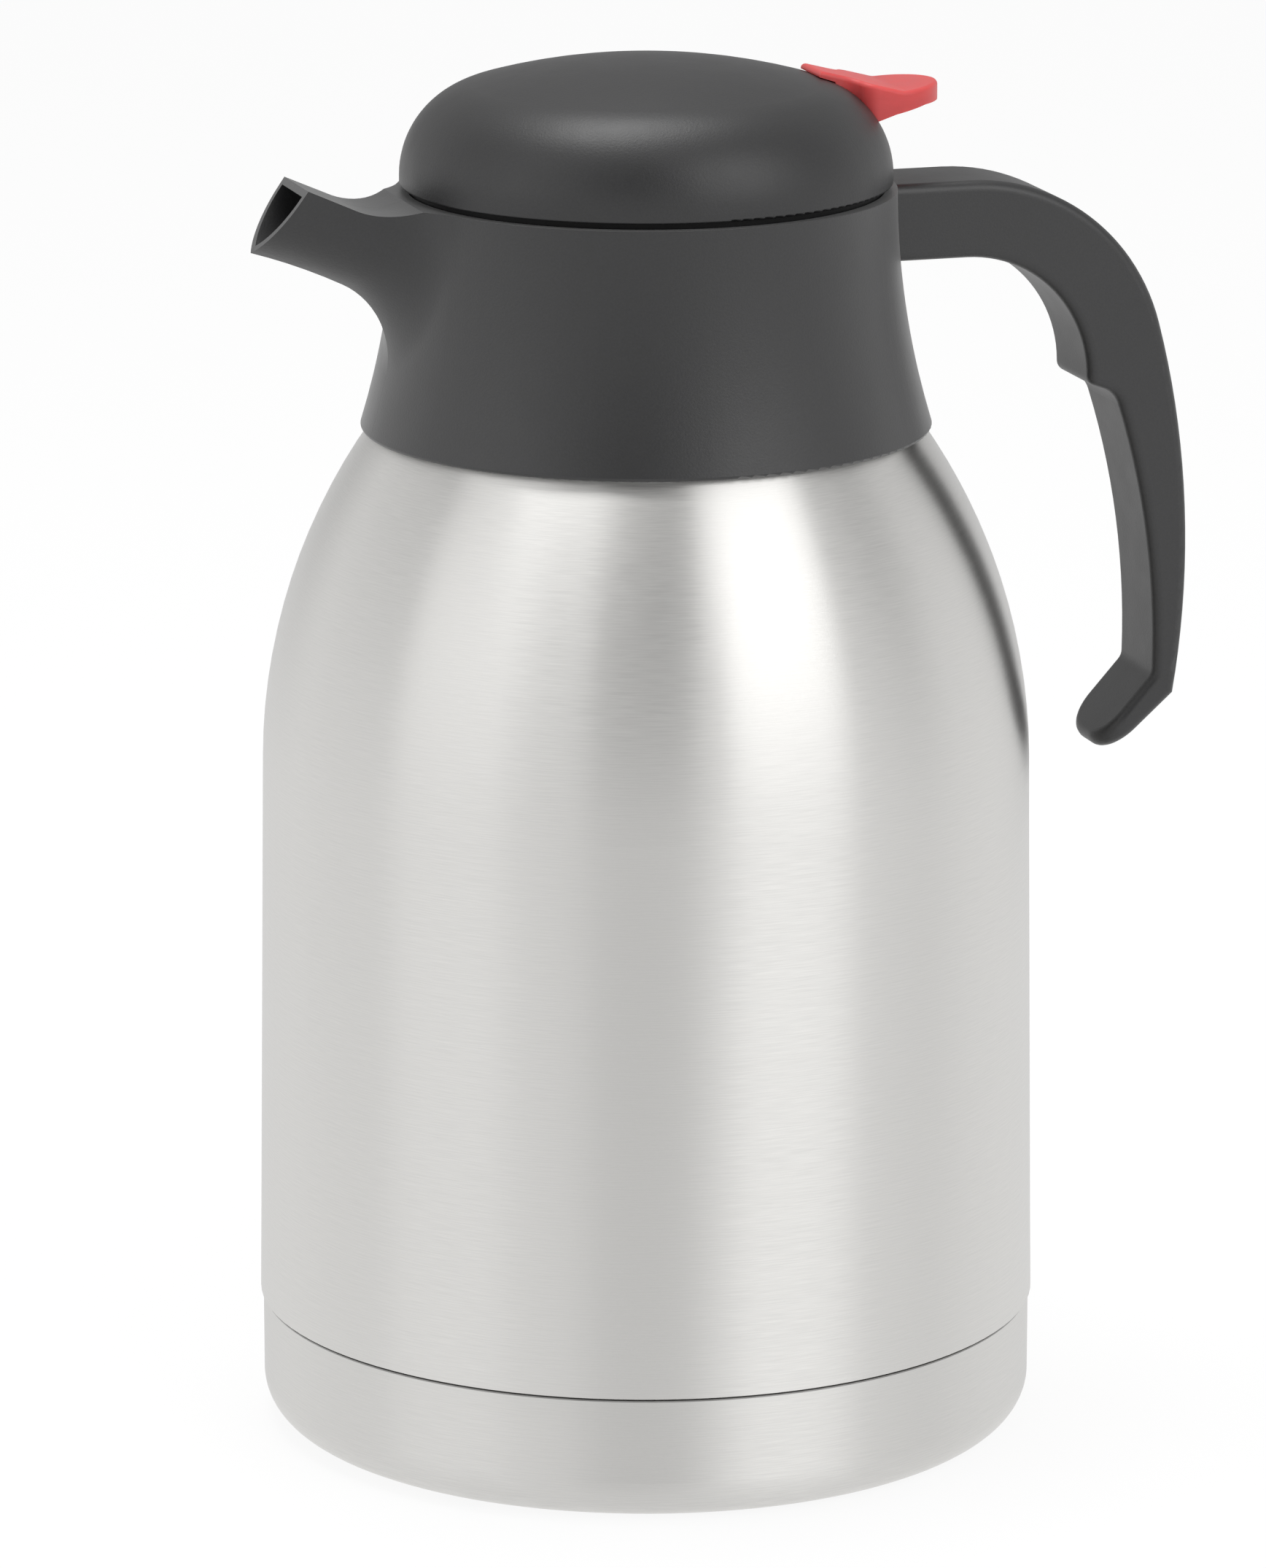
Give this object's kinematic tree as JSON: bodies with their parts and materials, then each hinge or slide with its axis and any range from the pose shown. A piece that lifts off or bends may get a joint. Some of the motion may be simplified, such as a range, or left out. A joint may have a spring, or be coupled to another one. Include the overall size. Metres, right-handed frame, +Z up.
{
  "type": "vacuum jug",
  "caption": "Double-walled steel serving jug with a pouring spout, a hooked side handle, a screw-in domed lid and a thumb lever that opens its pouring valve.",
  "frame": {"origin": "centre of the ring that the jug stands on", "axes": "+Z up along the jug's axis, +X towards the handle, -X towards the spout"},
  "size_m": [0.1765, 0.1438, 0.254],
  "materials": {
    "steel_base": "brushed around the axis",
    "steel_shell": "brushed around the axis",
    "steel_inner": "spun",
    "solder": "plain",
    "getter": "pressed powder",
    "black_collar": "fine mould texture",
    "black_handle": "fine mould texture",
    "black_lid": "fine mould texture",
    "red_lever": "semi-gloss",
    "silicone": "matte",
    "inner_plastic": "plain moulding",
    "steel_small": "drawn wire"
  },
  "bodies": {
    "jug": {"base_cup": "steel_base", "outer_shell": "steel_shell", "inner_flask": "steel_inner", "jacket_plate": "steel_inner", "vent_bead": "solder", "getter_tablet": "getter", "collar": "black_collar", "neck_gasket": "silicone", "neck_ring": "inner_plastic", "handle": "black_handle", "handle_screw": "steel_small"},
    "stopper_ring": {"face_seal": "silicone"},
    "lid": {"stopper_body": "inner_plastic", "seat_plate": "inner_plastic", "side_seal": "silicone", "lid_dome": "black_lid", "lever_pin": "steel_small", "valve_spring": "steel_small"},
    "thumb_lever": {"lever": "red_lever"},
    "valve": {"valve_stem": "inner_plastic", "lift_cap": "inner_plastic", "valve_disc": "silicone"}
  },
  "joints": [
    {"name": "lid_lift", "type": "slide", "parent": "jug", "child": "stopper_ring", "axis": [0, 0, 1], "range_m": [0, 0.0561]},
    {"name": "lid_turn", "type": "hinge", "parent": "stopper_ring", "child": "lid", "pos_m": [0, 0, 0.2], "axis": [0, 0, 1], "range_deg": [0, 720]},
    {"name": "lever_press", "type": "hinge", "parent": "lid", "child": "thumb_lever", "pos_m": [0.033, 0, 0.2405], "axis": [0, 1, 0], "range_deg": [0, 10], "stiffness_Nm_per_rad": 0.02, "springref_deg": -11.46},
    {"name": "valve_lift", "type": "slide", "parent": "lid", "child": "valve", "axis": [0, 0, 1], "range_m": [0, 0.00575], "deforming": ["valve_spring"]}
  ],
  "couplings": [
    {"joint": "lid_lift", "follows": "lid_turn", "m_per_rad": 0.0044563},
    {"joint": "lever_press", "follows": "valve_lift", "rad_per_m": 30.303}
  ]
}
